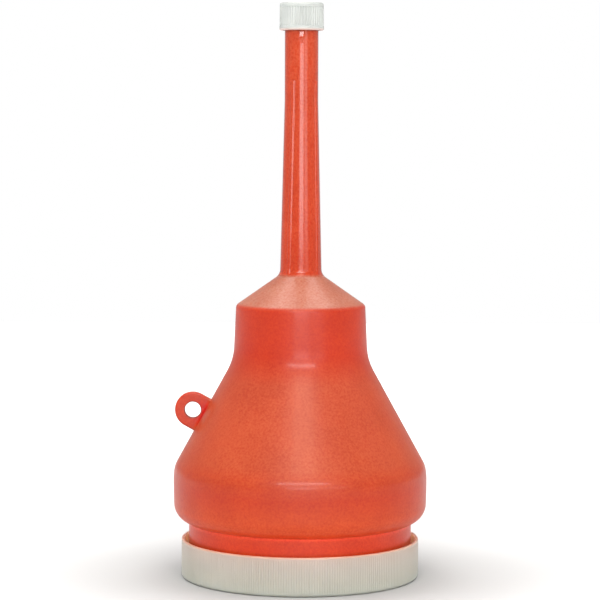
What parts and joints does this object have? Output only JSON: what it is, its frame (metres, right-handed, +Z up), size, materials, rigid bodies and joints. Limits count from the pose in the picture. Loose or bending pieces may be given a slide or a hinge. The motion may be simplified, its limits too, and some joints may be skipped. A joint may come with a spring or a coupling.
{
  "type": "double-capped funnel",
  "caption": "Plastic pouring funnel with a round-shouldered bowl, long ribbed spout and hanging lug, closed by a wide screw cap it stands on and a small screw cap on the spout.",
  "frame": {"origin": "centre of the mouth cap's underside, on the surface the capped funnel stands on", "axes": "+Z up the funnel's axis towards the spout cap, -X through the hanging lug, which lies in the XZ parting plane"},
  "size_m": [0.1312, 0.1312, 0.2955],
  "materials": {
    "funnel_plastic": "satin orange-red moulded polyethylene with a faint orange-peel surface",
    "mouth_cap_plastic": "natural unpigmented polypropylene, milky and slightly see-through, satin",
    "spout_cap_plastic": "white moulded polypropylene, satin",
    "liner_foam": "white closed-cell polyethylene foam disc, dull"
  },
  "bodies": {
    "mouth_cap": {"mouth_cap": "mouth_cap_plastic"},
    "mouth_liner": {"mouth_cap_liner": "liner_foam"},
    "funnel": {"funnel_body": "funnel_plastic"},
    "spout_liner": {"spout_cap_liner": "liner_foam"},
    "spout_cap": {"spout_cap": "spout_cap_plastic"}
  },
  "joints": [
    {"name": "mouth_cap_turn", "type": "hinge", "parent": "mouth_cap", "child": "mouth_liner", "pos_m": [0, 0, 0.0038], "axis": [0, 0, 1], "range_deg": [0, 1260]},
    {"name": "mouth_cap_lift", "type": "slide", "parent": "mouth_liner", "child": "funnel", "axis": [0, 0, 1], "range_m": [0, 0.0178]},
    {"name": "spout_cap_lift", "type": "slide", "parent": "funnel", "child": "spout_liner", "axis": [0, 0, 1], "range_m": [0, 0.01272]},
    {"name": "spout_cap_turn", "type": "hinge", "parent": "spout_liner", "child": "spout_cap", "pos_m": [0, 0, 0.2925], "axis": [0, 0, 1], "range_deg": [0, 1440]}
  ],
  "couplings": [
    {"joint": "mouth_cap_lift", "follows": "mouth_cap_turn", "m_per_rad": 0.00080851},
    {"joint": "spout_cap_lift", "follows": "spout_cap_turn", "m_per_rad": 0.00050532}
  ]
}
